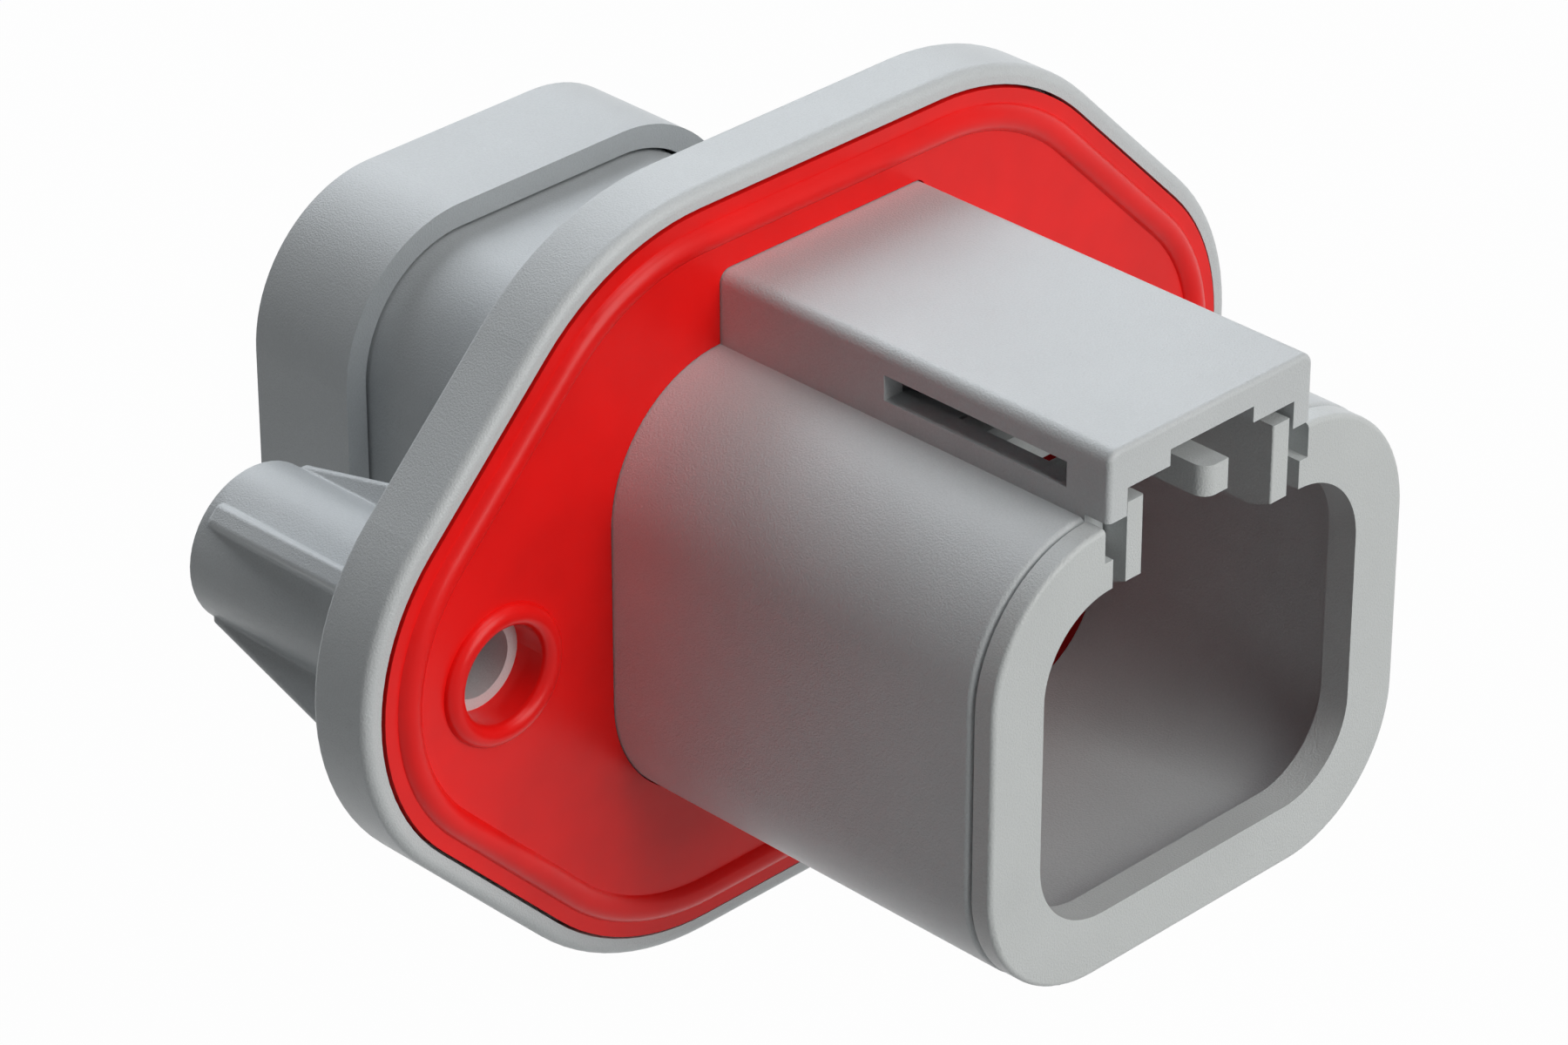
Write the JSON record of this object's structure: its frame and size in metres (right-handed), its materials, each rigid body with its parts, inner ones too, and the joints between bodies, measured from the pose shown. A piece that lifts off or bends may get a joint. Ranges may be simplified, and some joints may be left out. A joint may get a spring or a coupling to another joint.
{
  "type": "sealed automotive connector",
  "caption": "Rectangular flange-mount sealed receptacle with a red flange gasket, a slide lock under a raised roof, socket contacts, screw bosses and a rear wire cap.",
  "frame": {"origin": "on the mating axis at the plane where the flange gasket seats, midway between the two flange screw holes", "axes": "-Y towards the mating side along the screws, +X along the line of the two screws, to the right as seen from the mating side, +Z towards the lock roof"},
  "size_m": [0.0538, 0.0467, 0.0374],
  "materials": {
    "housing_plastic": "fine-grained light grey moulding",
    "bezel_plastic": "fine-grained light grey moulding",
    "slide_plastic": "fine-grained light grey moulding",
    "cap_plastic": "fine-grained light grey moulding",
    "retainer_plastic": "light grey moulding",
    "gasket_rubber": "satin red silicone rubber",
    "interface_rubber": "satin red silicone rubber",
    "rear_rubber": "satin red silicone rubber",
    "contact_metal": "tin-plated turned copper alloy"
  },
  "bodies": {
    "housing": {"receptacle_housing": "housing_plastic", "front_bezel": "bezel_plastic", "flange_gasket": "gasket_rubber", "interface_seal": "interface_rubber", "contact_retainer": "retainer_plastic", "rear_seal": "rear_rubber", "rear_cap": "cap_plastic", "socket_contact_1": "contact_metal", "socket_contact_2": "contact_metal", "socket_contact_3": "contact_metal", "socket_contact_4": "contact_metal"},
    "slide": {"lock_slide": "slide_plastic"}
  },
  "joints": [
    {"name": "lock_slide_travel", "type": "slide", "parent": "housing", "child": "slide", "axis": [0, -1, 0], "range_m": [0, 0.003]}
  ]
}
